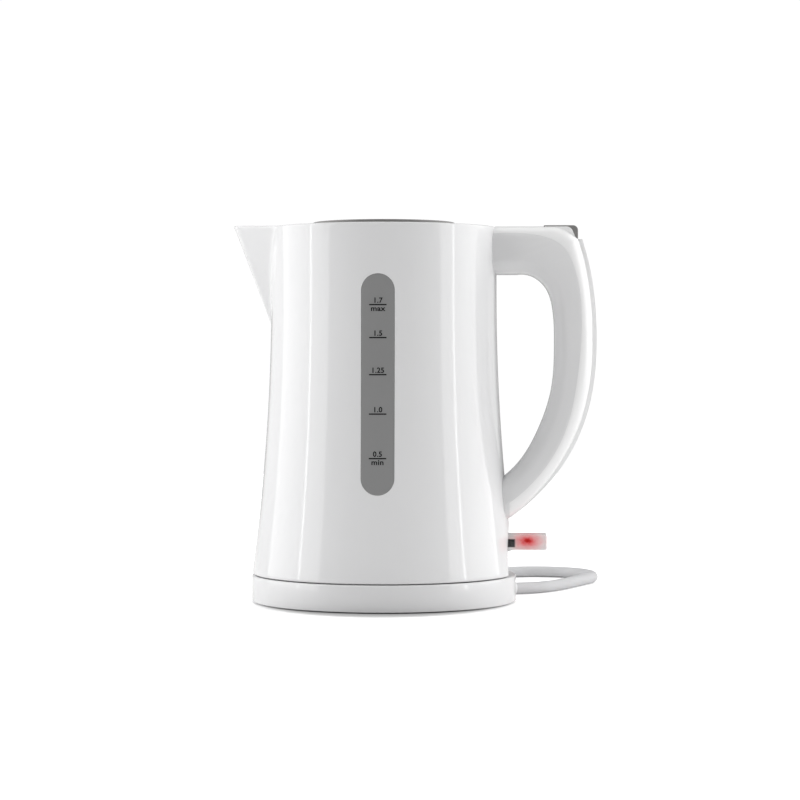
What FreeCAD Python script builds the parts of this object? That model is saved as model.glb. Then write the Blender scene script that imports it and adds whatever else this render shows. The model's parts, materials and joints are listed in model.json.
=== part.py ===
import FreeCAD, Part
import math
import os

from FreeCAD import Vector

# A cordless jug kettle on its power base. All sizes are in millimetres.
# The origin is on the table under the middle of the base, +Z is up, the spout points
# towards -X, the handle towards +X and the water window towards -Y.

# ------------------------------------------------------------------ driving dimensions
BASE_R = 77.5           # outer radius of the power base
BASE_FOOT = 1.4         # height of the rubber ring under it
BASE_TOP = 15.5         # height of its upper face
BASE_WALL = 2.2
BASE_GAP = 0.9          # seam between the base and the jug standing on it

JUG_BOTTOM = BASE_TOP + BASE_GAP
RIM_Z = 219.2           # upper edge of the jug
NECK_R = 66.1           # outer radius of the straight upper part
WAIST_Z = 182.6         # height where the wall starts to flare outwards
FLARE_R = 1237.0        # radius of that flare
WALL = 2.8

SPOUT_TIP_X = -88.5     # front of the beak at its lip
SPOUT_TIP_Z = 220.5
SPOUT_ROOT_X = -66.5    # where the beak's edge meets the wall
SPOUT_ROOT_Z = 163.0
SPOUT_HALF = 26.0       # half width of the beak where it meets the rim
SPOUT_NOSE_R = 9.0
SPOUT_WALL = 2.5

WINDOW_HALF = 9.4       # water window: half width and its lower and upper ends
WINDOW_Z0 = 65.8
WINDOW_Z1 = 190.2

LID_R = 41.7
LID_TOP = 222.1
WELL_R = 43.0           # opening in the top collar that the lid sits in
COLLAR_TOP = 218.8
HINGE_X = 46.0          # lid hinge axis, along Y
HINGE_Z = 217.0

PLATE_Z = 52.0          # upper face of the heated floor
PLATE_R = 66.0

HANDLE_HALF = 17.3      # half width of the handle
HANDLE_ROUND = 8.0      # rounding of its long edges
HANDLE_WALL = 3.0
BAND_HALF = 11.0        # half width of the raised band down the handle's back
BAND_RISE = 2.2

BUTTON_X0 = 93.5
BUTTON_X1 = 113.5
BUTTON_TOP = 220.0
BUTTON_BOTTOM = 208.0
BUTTON_TRAVEL = 3.0
SEAT_Z = BUTTON_BOTTOM - BUTTON_TRAVEL - 2  # floor of the button's pocket, where its spring stands

LEVER_PIVOT_X = 66.5    # switch lever axis, along Y
LEVER_PIVOT_Z = 35.2
LEVER_TIP_X = 95.6
LEVER_Z0 = 31.1
LEVER_Z1 = 39.4
LEVER_HALF = 13.0
SCOOP_R = 110.0         # hollow in the wall around the switch lever
SCOOP_X = 72.8
SCOOP_Z = 29.0

CONTROL_R = 24.0        # connector parts on the kettle's axis
CUP_R = 20.6
CUP_BORE = 18.4
TOWER_R = 17.0
TOWER_TOP = 27.0
RING_R = 11.0
SLOT_Z = 14.0           # floor of the tower's bore and ring slot

CORD_D = 7.0
CORD_ANGLE = 27.0       # direction in which the cord leaves the base, from +X towards +Y
RELIEF_OUT = 9.0        # how far the strain relief stands out of the base
RELIEF_IN = 12.0        # and how far it reaches into it
COIL_X = 30.0
COIL_Y = 173.7
COIL_R = 35.5           # radius of the coil's turns, at the middle of the cord
COIL_TURNS = 2.036
PIN_R = 2.4             # round plug pins, 19 mm long on 19 mm centres
PIN_LENGTH = 19.0
PIN_SPACING = 19.0

STEAM_X = 56.5          # steam tube, parallel to Z, beside the release rod
STEAM_Y = 9.0
DIFFUSER_R = 50.0
DIFFUSER_DEPTH = 3.6    # its underside below the heated floor's upper face
ELEMENT_R = 40.0
ELEMENT_TUBE_R = 3.4
CORE_HALF = 10.0        # black holder inside the clear lever
CORE_Z0 = 32.9
CORE_Z1 = 37.3
TRIP_X = 56.0           # trip lever axis, along Y
TRIP_Z = 29.0
ROD_Z0 = 209.6          # release rod between the button and the lid
ROD_Z1 = 213.6

# Side view of the handle, (x, z): its back with the raised band, from the button to the foot,
# the long side of the finger gap, and the line where the outer cover meets the core.
HANDLE_BACK = [(115.9, 212.0), (120.8, 193.5), (124.3, 160.0), (123.0, 130.0), (117.0, 104.5),
               (105.0, 80.7), (88.0, 60.8), (68.0, 45.6)]
FINGER_GAP_SIDE = [(99.0, 170.5), (99.9, 150.0), (98.0, 124.0), (91.0, 102.3), (79.5, 82.2)]
HANDLE_PARTING = [(60.0, 215.2), (76.5, 215.2), (91.0, 213.8), (104.0, 208.0), (111.5, 194.8),
                  (115.6, 166.0), (113.0, 130.0), (106.0, 99.8), (92.0, 75.8), (73.8, 58.8)]

RELIEF_Z = 4.6          # height of the lead where it leaves the base
RELIEF_ROOT_R = 4.1
RELIEF_TIP_R = 3.75
RELIEF_TIP_Z = 3.9      # the lead comes down to the table along the sleeve

# The lead's route, point by point: from its strain relief to the coil, and from the coil to the plug.
CORD_ROUTE = [
    (77.07, 39.27, 3.9), (88.8, 46.0, 3.6), (99.3, 58.1, 3.6), (108.7, 75.8, 3.6), (117.7, 98.1, 3.6),
    (127.5, 120.0, 3.6), (124.6, 140.3, 3.6), (111.2, 155.8, 3.6), (91.5, 161.4, 3.6), (70.5, 155.0, 3.6),
    (46.7, 142.3, 3.6),
]
CORD_TAIL = [
    (39.2, 139.4, 17.9), (26.2, 135.9, 17.3), (13.2, 130.7, 12.8), (0.9, 123.9, 7.8), (-9.7, 116.4, 5.0),
]
PLUG_HEADING = 215.3    # direction of the plug's axis seen from above
PLUG_TILT = 20.0        # it rests on its face plate's rim and its sleeve

CLEAR = 0.4             # gap between pieces that move against each other


# ------------------------------------------------------------------ helpers
def cylinder(radius, z0, z1, x=0.0, y=0.0):
    return Part.makeCylinder(radius, z1 - z0, Vector(x, y, z0))


def tube(outer, inner, z0, z1, x=0.0, y=0.0):
    return cylinder(outer, z0, z1, x, y).cut(cylinder(inner, z0 - 1, z1 + 1, x, y))


def rod(start, end, radius):
    """A round bar between two points."""
    start, end = Vector(*start), Vector(*end)
    return Part.makeCylinder(radius, start.distanceToPoint(end), start, end - start)


def cone(start, end, radius_start, radius_end):
    """A round taper between two points."""
    start, end = Vector(*start), Vector(*end)
    return Part.makeCone(radius_start, radius_end, start.distanceToPoint(end), start, end - start)


def block(x0, x1, y0, y1, z0, z1):
    return Part.makeBox(x1 - x0, y1 - y0, z1 - z0, Vector(x0, y0, z0))


def cross_bar(x, z, radius, half):
    """A round bar along Y, centred on the X-Z plane."""
    return Part.makeCylinder(radius, 2 * half, Vector(x, -half, z), Vector(0, 1, 0))


def polar(radius, degrees, z=0.0):
    angle = math.radians(degrees)
    return (radius * math.cos(angle), radius * math.sin(angle), z)


def around(count, first=0.0):
    """Evenly spaced angles, in degrees."""
    return [first + 360.0 * i / count for i in range(count)]


def join(shapes):
    return shapes[0].fuse(shapes[1:]).removeSplitter()


def group(shapes):
    """Separate solids that belong to one sub-part."""
    return Part.makeCompound(shapes)


def rounded(shape, radius, wanted):
    """Rounds the edges that the test accepts."""
    return shape.makeFillet(radius, [edge for edge in shape.Edges if wanted(edge)])


def at_height(z):
    """A test for level edges at height z."""
    return lambda edge: abs(edge.BoundBox.ZMin - z) < 0.01 and abs(edge.BoundBox.ZMax - z) < 0.01


def spline(points):
    """A smooth edge in the X-Z plane through (x, z) points."""
    curve = Part.BSplineCurve()
    curve.interpolate([Vector(x, 0, z) for x, z in points])
    return curve.toShape()


def line(start, end):
    return Part.makeLine(Vector(start[0], 0, start[1]), Vector(end[0], 0, end[1]))


def slab(edges, half):
    """A closed outline in the X-Z plane, thickened by half to each side."""
    face = Part.Face(Part.Wire(edges))
    face.translate(Vector(0, -half, 0))
    return face.extrude(Vector(0, 2 * half, 0))


# ------------------------------------------------------------------ jug form
def wall_radius(z):
    """Outer radius of the jug's wall at height z."""
    drop = max(0.0, WAIST_Z - z)
    return NECK_R + FLARE_R - math.sqrt(FLARE_R ** 2 - drop ** 2)


def jug_form(inset, z0, z1):
    """The solid inside the jug's outer surface, drawn in by an inset, between two heights."""
    if z0 >= WAIST_Z:
        return cylinder(NECK_R - inset, z0, z1)
    foot = Vector(wall_radius(z0) - inset, 0, z0)
    top_of_flare = min(z1, WAIST_Z)
    middle_z = (z0 + top_of_flare) / 2
    flare = Part.Arc(
        foot,
        Vector(wall_radius(middle_z) - inset, 0, middle_z),
        Vector(wall_radius(top_of_flare) - inset, 0, top_of_flare),
    ).toShape()
    edges = [line((0, z0), (foot.x, z0)), flare]
    if z1 > WAIST_Z:
        edges.append(line((NECK_R - inset, WAIST_Z), (NECK_R - inset, z1)))
    edges.append(line((wall_radius(z1) - inset, z1), (0, z1)))
    edges.append(line((0, z1), (0, z0)))
    return Part.Face(Part.Wire(edges)).revolve(Vector(), Vector(0, 0, 1), 360)


def spout_section(nose_x, half, nose_r, z):
    """A level section of the beak: two straight sides that run into a round nose."""
    crease_x = -60.6
    back_x = -52.0
    centre_x = nose_x + nose_r
    reach = math.hypot(crease_x - centre_x, half)
    angle = math.atan2(half, crease_x - centre_x) + math.acos(nose_r / reach)
    touch_x = centre_x + nose_r * math.cos(angle)
    touch_y = nose_r * math.sin(angle)
    corners = [
        Vector(touch_x, -touch_y, z),
        Vector(crease_x, -half, z),
        Vector(back_x, -half, z),
        Vector(back_x, half, z),
        Vector(crease_x, half, z),
        Vector(touch_x, touch_y, z),
    ]
    edges = [Part.makeLine(a, b) for a, b in zip(corners, corners[1:])]
    edges.append(Part.Arc(corners[-1], Vector(nose_x, 0, z), corners[0]).toShape())
    return Part.Wire(edges)


def spout_form(inset):
    """The beak's solid, drawn in by an inset; it starts inside the jug's wall."""
    lean = (SPOUT_ROOT_X - SPOUT_TIP_X) / (SPOUT_TIP_Z - SPOUT_ROOT_Z)
    top_z = SPOUT_TIP_Z + 4
    root_z = SPOUT_ROOT_Z - 2 + inset
    top = spout_section(
        SPOUT_ROOT_X - lean * (top_z - SPOUT_ROOT_Z) + inset,
        SPOUT_HALF * (top_z - SPOUT_ROOT_Z) / (RIM_Z - SPOUT_ROOT_Z) - 1.15 * inset,
        SPOUT_NOSE_R - 0.8 * inset,
        top_z,
    )
    root = spout_section(SPOUT_ROOT_X + 0.7 + 0.7 * inset, 0.6, 0.5, root_z)
    return Part.makeLoft([root, top], True, True)


def above_lip():
    """Everything above the beak's lip, which climbs slightly from the rim to its tip."""
    near_x = -60.6
    far_x = SPOUT_TIP_X - 20
    slope = (SPOUT_TIP_Z - RIM_Z) / (near_x - SPOUT_TIP_X)
    far_z = RIM_Z + slope * (near_x - far_x)
    sky_z = 260
    back_x = -40
    return slab(
        [
            line((near_x, RIM_Z), (far_x, far_z)),
            line((far_x, far_z), (far_x, sky_z)),
            line((far_x, sky_z), (back_x, sky_z)),
            line((back_x, sky_z), (back_x, RIM_Z)),
            line((back_x, RIM_Z), (near_x, RIM_Z)),
        ],
        60,
    )


def scoop(radius):
    """A wide round bar along Y that hollows the wall around the switch lever."""
    return cross_bar(SCOOP_X + SCOOP_R, SCOOP_Z, radius, 40)


def window_prism(half, margin):
    """A tall slot with round ends that runs out through the front wall."""
    z0 = WINDOW_Z0 - margin + half
    z1 = WINDOW_Z1 + margin - half
    ends = [Part.makeCylinder(half, 50, Vector(0, -90, z), Vector(0, 1, 0)) for z in (z0, z1)]
    return join([block(-half, half, -90, -40, z0, z1)] + ends)


# ------------------------------------------------------------------ jug
def bottom_screw_places():
    return [polar(67.5, angle)[:2] for angle in around(3, 60)]


def jug_body():
    """Outer shell with the beak, open at the top and at the bottom."""
    outside = jug_form(0, JUG_BOTTOM, RIM_Z)
    outside = rounded(outside, 0.9, at_height(RIM_Z))
    outside = rounded(outside, 1.2, at_height(JUG_BOTTOM))
    outside = outside.fuse(spout_form(0).cut(above_lip())).cut(scoop(SCOOP_R))
    inside = jug_form(WALL, JUG_BOTTOM - 1, RIM_Z + 1).cut(scoop(SCOOP_R + WALL))
    shell = outside.cut(inside).cut(spout_form(SPOUT_WALL))
    ledge = jug_form(WALL - 0.3, PLATE_Z + 1.6, PLATE_Z + 3.6).cut(cylinder(PLATE_R + 1.2, 40, 70))
    posts = [cylinder(4.0, 19.6, PLATE_Z - 6, x, y) for x, y in bottom_screw_places()]
    posts = [post.common(jug_form(WALL - 0.5, 18, 60)) for post in posts]
    shell = shell.fuse([ledge] + posts)
    cuts = [window_prism(WINDOW_HALF + 0.05, 0.05)]
    slot_half = LEVER_HALF + 0.7
    cuts.append(block(LEVER_PIVOT_X, 90, -slot_half, slot_half, 29.6, 41.2))
    cuts += [cylinder(1.3, 19, 32, x, y) for x, y in bottom_screw_places()]
    cuts += [rod((55, y, 203), (80, y, 203), 1.8) for y in (-9, 9)]
    cuts.append(block(55, 80, -7, 7, 209, 215))
    return shell.cut(cuts).removeSplitter()


def top_collar():
    """Annular deck just below the rim, with the well for the lid and the hinge lugs."""
    under = COLLAR_TOP - 2.2
    reach = NECK_R - WALL - 0.05
    deck = tube(reach, WELL_R, under, COLLAR_TOP)
    well = tube(WELL_R + 2.2, WELL_R, 205, under)
    skirt = tube(reach, reach - 2.0, 209, under).cut(block(-80, -40, -25, 25, 200, 230))
    skirt = skirt.cut(block(50, 80, -8, 8, 200, under))
    deck = join([deck, well, skirt])
    pocket_back = HINGE_X + 4.6
    deck = deck.cut(block(38, pocket_back, -14.6, 14.6, 204, 230))
    lugs = [block(HINGE_X - 1.5, pocket_back + 0.2, -14.6, 14.6, 206.5, 208.5)]
    for y in (-14.6, 10.4):
        lugs.append(Part.makeCylinder(3.0, 4.2, Vector(HINGE_X, y, HINGE_Z), Vector(0, 1, 0)))
        lugs.append(block(HINGE_X - 1.5, pocket_back + 0.2, y, y + 4.2, 208, HINGE_Z))
    deck = deck.fuse(lugs)
    deck = deck.cut([cross_bar(HINGE_X, HINGE_Z, 1.5, 16), cylinder(3.45, 200, 230, STEAM_X, STEAM_Y)])
    return deck.removeSplitter()


def lid_hinge_pin():
    return cross_bar(HINGE_X, HINGE_Z, 1.5, 14.6)


def filter_frame():
    """Frame of the spout filter, clipped upright behind the beak."""
    frame = block(-60.0, -57.6, -19, 19, 176, 208)
    grip = block(-57.7, -55.6, -6, 6, 206, 208)
    windows = [block(-61, -56, y, y + 15.5, 180, 204) for y in (-16.5, 1.0)]
    return frame.cut(windows).fuse(grip).removeSplitter()


def filter_mesh():
    """Fine mesh panels in the filter frame."""
    return group([block(-59.0, -58.6, y, y + 15.5, 180, 204) for y in (-16.5, 1.0)])


def water_window():
    """Clear strip with round ends, flush with the wall, with a flange behind it."""
    skin = window_prism(WINDOW_HALF, 0).common(jug_form(0, 40, 200))
    flange = window_prism(WINDOW_HALF + 3, 3).common(jug_form(WALL + 0.05, 40, 200))
    return skin.fuse(flange).cut(jug_form(WALL + 1.6, 35, 205)).removeSplitter()


def heater_plate():
    """Steel floor of the water space, with a turned-down rim and a hole for the steam tube."""
    plate = cylinder(PLATE_R, PLATE_Z - 1, PLATE_Z)
    rim = tube(PLATE_R, PLATE_R - 1, PLATE_Z - 3, PLATE_Z)
    return plate.fuse(rim).cut(cylinder(4.8, 40, 60, STEAM_X, STEAM_Y)).removeSplitter()


def plate_seal():
    """Silicone ring between the heated floor and the wall."""
    ring = jug_form(WALL + 0.05, PLATE_Z - 4, PLATE_Z + 1.5).cut(cylinder(PLATE_R - 2.5, 40, 60))
    return ring.cut(tube(PLATE_R + 0.02, PLATE_R - 3, PLATE_Z - 5, PLATE_Z + 0.02))


def heat_diffuser():
    """Aluminium disc brazed under the heated floor."""
    return cylinder(DIFFUSER_R, PLATE_Z - DIFFUSER_DEPTH, PLATE_Z - 1)


def heating_element():
    """Sheathed element bent round under the diffuser, with a gap between its two ends."""
    z = PLATE_Z - DIFFUSER_DEPTH - ELEMENT_TUBE_R
    ring = Part.makeTorus(ELEMENT_R, ELEMENT_TUBE_R, Vector(0, 0, z), Vector(0, 0, 1), 0, 360, 300)
    ring.rotate(Vector(0, 0, z), Vector(0, 0, 1), 120)
    return ring


def element_pins():
    """Cold pins at the two ends of the element, turned down to the terminals."""
    z = PLATE_Z - DIFFUSER_DEPTH - 2 * ELEMENT_TUBE_R
    return group([cylinder(1.6, 30, z, *polar(ELEMENT_R, angle)[:2]) for angle in (55, 125)])


def control_housing():
    """Moulded control on the axis: the cup that fits over the base's tower, and its body above."""
    cup = tube(CUP_R, CUP_BORE, JUG_BOTTOM + 0.8, 32)
    ear = block(CONTROL_R - 3, CONTROL_R + 7, -4, 4, 36, 40)
    body = cylinder(CONTROL_R, 32, 40).fuse([ear, ear.rotated(Vector(), Vector(0, 0, 1), 180)])
    seats = [cylinder(1.6, 30, 35), tube(RING_R, RING_R - 1.0, 30, 35)]
    seats.append(tube(CUP_BORE, CUP_BORE - 0.4, 30, 35))
    return body.cut(seats).fuse(cup).removeSplitter()


def live_pin():
    return rounded(cylinder(1.6, 19, 35), 1.0, at_height(19))


def neutral_ring():
    return tube(RING_R, RING_R - 1.0, 19, 35)


def earth_ring():
    return tube(CUP_BORE, CUP_BORE - 0.4, 24, 35)


def bimetal_discs():
    """Snap discs that cut the power if the kettle boils dry."""
    return group([cylinder(8.5, 40.2, 40.7, x, 0) for x in (-12, 12)])


def bottom_cover():
    """Disc that closes the jug underneath, open around the connector cup."""
    z0 = JUG_BOTTOM + 0.7
    z1 = z0 + 2.2
    disc = cylinder(73.6, z0, z1).common(jug_form(WALL + 0.1, 10, 30).cut(scoop(SCOOP_R + WALL + 0.1)))
    holes = [cylinder(CUP_R + 0.4, 10, 30)]
    for x, y in bottom_screw_places():
        holes.append(cylinder(1.9, 10, 30, x, y))
        holes.append(cylinder(3.3, 10, z0 + 1.2, x, y))
    return disc.cut(holes)


def bottom_screws():
    head_z = JUG_BOTTOM + 0.8
    screws = []
    for x, y in bottom_screw_places():
        head = cylinder(3.0, head_z, head_z + 1.05, x, y)
        screws.append(head.fuse(cylinder(1.25, head_z + 1, 31, x, y)).removeSplitter())
    return group(screws)


def steam_tube():
    """Takes steam from under the collar down to the snap disc of the switch."""
    return tube(3.4, 2.4, 41, 216, STEAM_X, STEAM_Y)


def steam_tube_seal():
    """Grommet where the steam tube passes the heated floor."""
    collar = tube(6.2, 3.4, PLATE_Z, PLATE_Z + 2, STEAM_X, STEAM_Y)
    neck = tube(4.8, 3.4, PLATE_Z - 2.5, PLATE_Z, STEAM_X, STEAM_Y)
    return collar.fuse(neck).removeSplitter()


# ------------------------------------------------------------------ switch
def switch_frame():
    """Open frame behind the lever: it carries both pivots and the steam disc."""
    floor = block(44, 69, -16.4, 16.4, 21, 23)
    roof = block(44, 59.5, -16.4, 16.4, 38.2, 40)
    cheeks = [block(44, 69, y, y + 1.8, 21, 40) for y in (-16.4, 14.6)]
    frame = join([floor, roof] + cheeks)
    bores = [cross_bar(LEVER_PIVOT_X, LEVER_PIVOT_Z, 1.5, 20), cross_bar(TRIP_X, TRIP_Z, 1.2, 20)]
    bores.append(cylinder(2.4, 35, 45, STEAM_X, STEAM_Y))
    return frame.cut(bores).removeSplitter()


def steam_disc():
    """Snap disc that trips the switch when steam reaches it."""
    return cylinder(7.4, 40.0, 40.4, 52.0, 6.0)


def switch_pins():
    """Pivot pins of the lever and of the trip lever, fixed in the frame."""
    lever_pin = cross_bar(LEVER_PIVOT_X, LEVER_PIVOT_Z, 1.5, 16.4)
    return group([lever_pin, cross_bar(TRIP_X, TRIP_Z, 1.2, 16.4)])


def fixed_contact():
    """Brass strip on the frame's floor, under the inner end of the trip lever."""
    return block(45, 51, -2.5, 2.5, 23, 27.4)


def jug_wires():
    """Leads from the control to the switch."""
    return group([rod((CONTROL_R - 0.4, y, 34), (44, y, 34), 1.1) for y in (-6, 6)])


def switch_lever():
    """Clear hollow paddle that is pressed down to boil."""
    paddle = block(68.0, LEVER_TIP_X, -LEVER_HALF, LEVER_HALF, LEVER_Z0, LEVER_Z1)
    paddle = rounded(paddle, 1.1, lambda e: e.BoundBox.XMin > LEVER_TIP_X - 0.01)
    hollow = block(66, 89.5, -CORE_HALF, CORE_HALF, CORE_Z0, CORE_Z1)
    foot = slab(
        [
            line((69.5, LEVER_Z0 + 0.1), (76.8, LEVER_Z0 + 0.1)),
            line((76.8, LEVER_Z0 + 0.1), (72.8, 30.1)),
            line((72.8, 30.1), (69.5, 30.1)),
            line((69.5, 30.1), (69.5, LEVER_Z0 + 0.1)),
        ],
        LEVER_HALF - 1,
    )
    return paddle.fuse(foot).cut(hollow).removeSplitter()


def lever_core():
    """Black holder on the pivot; the clear paddle slips over it and its tail works the trip lever."""
    arm = block(61.0, 77.6, -CORE_HALF, CORE_HALF, CORE_Z0, CORE_Z1)
    knuckle = cross_bar(LEVER_PIVOT_X, LEVER_PIVOT_Z, 3.0, 14.2).cut(block(67.95, 90, -15, 15, 25, 45))
    return arm.fuse(knuckle).cut(cross_bar(LEVER_PIVOT_X, LEVER_PIVOT_Z, 1.55, 20)).removeSplitter()


def switch_lamp():
    """Small red lamp on two wires in front of the holder."""
    lamp = rod((80.2, 0, 35.2), (84.6, 0, 35.2), 1.7)
    lamp = rounded(lamp, 1.2, lambda e: e.BoundBox.XMin > 84.5)
    return join([lamp] + [rod((77.6, y, 35.2), (80.3, y, 35.2), 0.35) for y in (-0.9, 0.9)])


def trip_lever():
    """Rocker that the lever's tail tips off its contact."""
    hub = cross_bar(TRIP_X, TRIP_Z, 2.6, 6)
    arm = block(46, 64, -5, 5, 28.0, 30.0)
    finger = block(61.2, 63.4, -5, 5, 29.9, 32.3)
    return join([hub, arm, finger]).cut(cross_bar(TRIP_X, TRIP_Z, 1.25, 20))


# ------------------------------------------------------------------ lid
def lid_cover():
    """Flat round lid disc with a rounded edge and a shallow dish."""
    disc = rounded(cylinder(LID_R, LID_TOP - 1.9, LID_TOP), 0.5, at_height(LID_TOP))
    return disc.cut(cylinder(LID_R - 5, LID_TOP - 0.4, LID_TOP + 1))


def lid_inner():
    """Cup under the lid disc, with the hinge knuckle at its back."""
    under = 206.0
    top = LID_TOP - 1.9
    cup = cylinder(40.2, under, top).cut([cylinder(38.2, under + 2, top - 2), tube(41, 39, 208.6, 211.4)])
    arm = block(38.5, HINGE_X, -9.9, 9.9, 213.5, 219.6)
    cup = cup.fuse([arm, cross_bar(HINGE_X, HINGE_Z, 3.0, 9.9)])
    return cup.cut(cross_bar(HINGE_X, HINGE_Z, 1.55, 12)).removeSplitter()


def lid_seal():
    """Silicone lip in the groove of the lid's cup."""
    return tube(41.6, 39, 208.6, 211.4)


# ------------------------------------------------------------------ handle
def handle_outline(shrink=0.0):
    """The handle's side: its top line, round corner and long back, without the raised band."""
    top_z = RIM_Z + 0.2 - shrink
    drawn_in = BAND_RISE + shrink
    shoulder = (98.0 - shrink, top_z)
    heel = (HANDLE_BACK[0][0] - drawn_in, HANDLE_BACK[0][1])
    corner = [shoulder, (104.5 - shrink, 218.2 - shrink), (110.0 - shrink, 215.0 - shrink), heel]
    foot = (HANDLE_BACK[-1][0] - shrink, HANDLE_BACK[-1][1] + shrink)
    back = [(x - drawn_in, z) for x, z in HANDLE_BACK[:-2]]
    back += [(HANDLE_BACK[-2][0] - 0.6 * drawn_in, HANDLE_BACK[-2][1] + 0.5 * shrink), foot]
    inside_x = 50
    return [
        line((inside_x, top_z), shoulder),
        spline(corner),
        spline(back),
        line(foot, (inside_x, foot[1])),
        line((inside_x, foot[1]), (inside_x, top_z)),
    ]


def finger_gap(grow=0.0):
    """The opening between the handle and the jug, grown by a wall."""
    start = (78.0, 191.7 + grow)
    end = (60.0, 67.5 - grow)
    inner = [(88.5 + 0.3 * grow, 189.8 + grow), (95.0 + 0.8 * grow, 183.5 + 0.6 * grow)]
    inner += [(x + grow, z) for x, z in FINGER_GAP_SIDE]
    inside_x = 40
    return slab(
        [
            line((inside_x, start[1]), start),
            spline([start] + inner + [end]),
            line(end, (inside_x, end[1])),
            line((inside_x, end[1]), (inside_x, start[1])),
        ],
        60,
    )


def clear_of_jug(shape):
    """Cuts a handle piece back to the jug's wall."""
    return shape.cut(jug_form(-0.02, 10, RIM_Z + 5))


def handle_solid(shrink=0.0):
    """The handle without its raised band; shrunk, it is the hollow inside the handle."""
    edges = handle_outline(shrink)
    body = slab(edges, HANDLE_HALF - shrink).cut(finger_gap(shrink))
    if shrink:
        return body

    def along_the_sides(edge):
        box = edge.BoundBox
        on_a_side = box.YLength < 0.01 and abs(abs(box.YMin) - HANDLE_HALF) < 0.01
        return on_a_side and box.XLength + box.ZLength > 1

    return rounded(body, HANDLE_ROUND, along_the_sides)


def cover_side():
    """Everything outside the line where the cover meets the core."""
    near_x, far_x, low_z, high_z = 40, 160, 20, 250
    start = (near_x, HANDLE_PARTING[0][1])
    end = HANDLE_PARTING[-1]
    edges = [
        line(start, HANDLE_PARTING[0]),
        spline(HANDLE_PARTING),
        line(end, (end[0], low_z)),
        line((end[0], low_z), (far_x, low_z)),
        line((far_x, low_z), (far_x, high_z)),
        line((far_x, high_z), (near_x, high_z)),
        line((near_x, high_z), start),
    ]
    return slab(edges, 60)


def button_pocket():
    return block(BUTTON_X0 - CLEAR, BUTTON_X1 + CLEAR, -BAND_HALF - CLEAR, BAND_HALF + CLEAR, SEAT_Z, 240)


def rod_passage():
    """Straight way for the release rod, from the button to the lid's hinge."""
    return block(55, BUTTON_X0 + 4, -4 - CLEAR, 4 + CLEAR, ROD_Z0 - CLEAR, ROD_Z1 + CLEAR)


def handle_core():
    """Grip side of the handle, hollow, screwed to the jug at its upper arm."""
    core = handle_solid().cut([cover_side(), handle_solid(HANDLE_WALL)])
    core = clear_of_jug(core)
    pads = [block(NECK_R - 3, 76, y0, y0 + 9.6, 199.5, 206.5) for y0 in (-15.1, 5.5)]
    pads = [clear_of_jug(pad) for pad in pads]
    holes = [rod((55, y, 203), (77, y, 203), 1.2) for y in (-9, 9)]
    return core.fuse(pads).cut(holes + [button_pocket(), rod_passage()]).removeSplitter()


def handle_cover():
    """Outer half of the handle with the raised band down its back and the button's pocket."""
    cover = handle_solid().common(cover_side()).cut(handle_solid(HANDLE_WALL))
    band_outline = [
        spline(HANDLE_BACK),
        line(HANDLE_BACK[-1], (60, HANDLE_BACK[-1][1])),
        line((60, HANDLE_BACK[-1][1]), (60, HANDLE_BACK[0][1])),
        line((60, HANDLE_BACK[0][1]), HANDLE_BACK[0]),
    ]
    band = slab(band_outline, BAND_HALF).common(cover_side()).cut(handle_solid(HANDLE_WALL - 0.5))
    cover = clear_of_jug(cover.fuse(band)).cut([button_pocket(), rod_passage()])
    seat = block(BUTTON_X1 - 14, BUTTON_X1 + 1, -15, 15, SEAT_Z - 2.4, SEAT_Z).common(handle_solid())
    return cover.fuse(seat.common(cover_side().fuse(handle_solid(HANDLE_WALL)))).removeSplitter()


def handle_screws():
    """Screws from inside the jug into the handle's upper arm."""
    head_x = NECK_R - WALL - 2.9
    screws = []
    for y in (-9, 9):
        head = rod((head_x, y, 203), (head_x + 1.3, y, 203), 3.0)
        screws.append(head.fuse(rod((head_x + 1, y, 203), (75, y, 203), 1.2)).removeSplitter())
    return group(screws)


def lid_button():
    """Grey push button that forms the handle's top corner."""
    body = block(BUTTON_X0, BUTTON_X1, -BAND_HALF, BAND_HALF, BUTTON_BOTTOM, BUTTON_TOP)

    def top_back(edge):
        return edge.BoundBox.XMin > BUTTON_X1 - 0.01 and edge.BoundBox.ZMin > BUTTON_TOP - 0.01

    body = rounded(body, 3.0, top_back)
    return body.cut(cylinder(4.4, 200, BUTTON_BOTTOM + 5, BUTTON_X1 - 6.5, 0))


def button_spring():
    """Return spring under the button."""
    height = 8.6
    coil_r = 3.2
    helix = Part.makeHelix(1.7, height, coil_r)
    wire_section = Part.Wire(Part.makeCircle(0.45, Vector(coil_r, 0, 0), Vector(0, 1, 0)))
    spring = Part.Wire(helix).makePipeShell([wire_section], True, True)
    spring.translate(Vector(BUTTON_X1 - 6.5, 0, BUTTON_BOTTOM + 4.4 - height))
    return spring


def release_rod():
    """Flat rod that the button pushes towards the lid's hinge."""
    return block(HINGE_X + 6.5, BUTTON_X0 - CLEAR, -4, 4, ROD_Z0, ROD_Z1)


# ------------------------------------------------------------------ power base
def base_cover():
    """Upper shell of the base, with screw posts and the notch for the lead."""
    outside = cylinder(BASE_R, BASE_FOOT, BASE_TOP)
    outside = rounded(outside, 1.3, at_height(BASE_TOP))
    outside = rounded(outside, 0.8, at_height(BASE_FOOT))
    inside = cylinder(BASE_R - BASE_WALL, 0, BASE_TOP - BASE_WALL)
    posts = [cylinder(3.4, BASE_FOOT + 2.2, BASE_TOP - 1, x, y) for x, y in base_screw_places()]
    shell = outside.cut([inside, cylinder(TOWER_R + 0.5, 0, 30)]).fuse(posts)
    holes = [cylinder(1.2, 0, 11, x, y) for x, y in base_screw_places()]
    return shell.cut(holes + [relief_way(4.15)]).removeSplitter()


def base_screw_places():
    return [polar(52, angle)[:2] for angle in around(4, 66)]


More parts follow.
